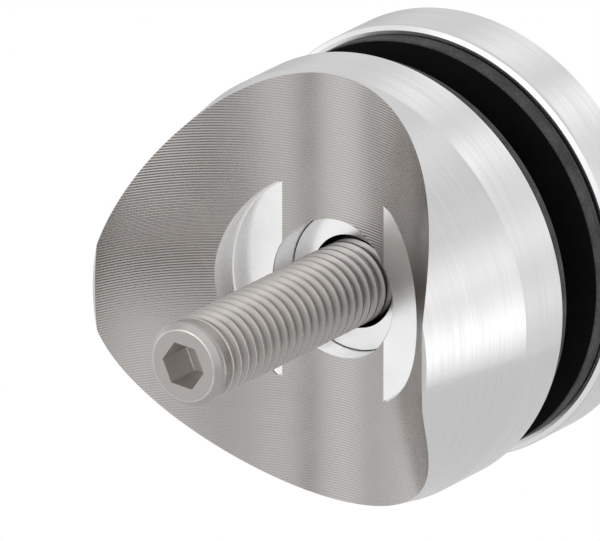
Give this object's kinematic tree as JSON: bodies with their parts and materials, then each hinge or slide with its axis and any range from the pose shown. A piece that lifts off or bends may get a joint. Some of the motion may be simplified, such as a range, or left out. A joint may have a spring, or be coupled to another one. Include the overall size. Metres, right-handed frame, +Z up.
{
  "type": "glass standoff",
  "caption": "Round clamp that holds a glass panel off a round post, with a saddle for the post, a threaded stud and a screw-on cap with gaskets.",
  "frame": {"origin": "on the clamp's axis, where the stud leaves the bottom of the saddle", "axes": "+Y along the axis from the post to the glass, +Z up along the post"},
  "size_m": [0.052, 0.0566, 0.052],
  "materials": {
    "body_steel": "turned and brushed stainless steel",
    "stud_steel": "rolled stainless steel thread",
    "rear_rubber": "black moulded rubber",
    "front_rubber": "black moulded rubber",
    "sleeve_plastic": "black moulded plastic",
    "cap_steel": "turned and brushed stainless steel"
  },
  "bodies": {
    "mounted": {"saddle_body": "body_steel", "stud_screw": "stud_steel", "rear_gasket": "rear_rubber"},
    "front_seal": {"front_gasket": "front_rubber", "glass_sleeve": "sleeve_plastic"},
    "cap": {"clamp_cap": "cap_steel"}
  },
  "joints": [
    {"name": "cap_travel", "type": "slide", "parent": "mounted", "child": "front_seal", "axis": [0, 1, 0], "range_m": [-0.002, 0.006]},
    {"name": "cap_turn", "type": "hinge", "parent": "front_seal", "child": "cap", "pos_m": [0, 0.018, 0], "axis": [0, 1, 0], "range_deg": [-480, 1440]}
  ],
  "couplings": [
    {"joint": "cap_travel", "follows": "cap_turn", "m_per_rad": 0.00023873}
  ]
}
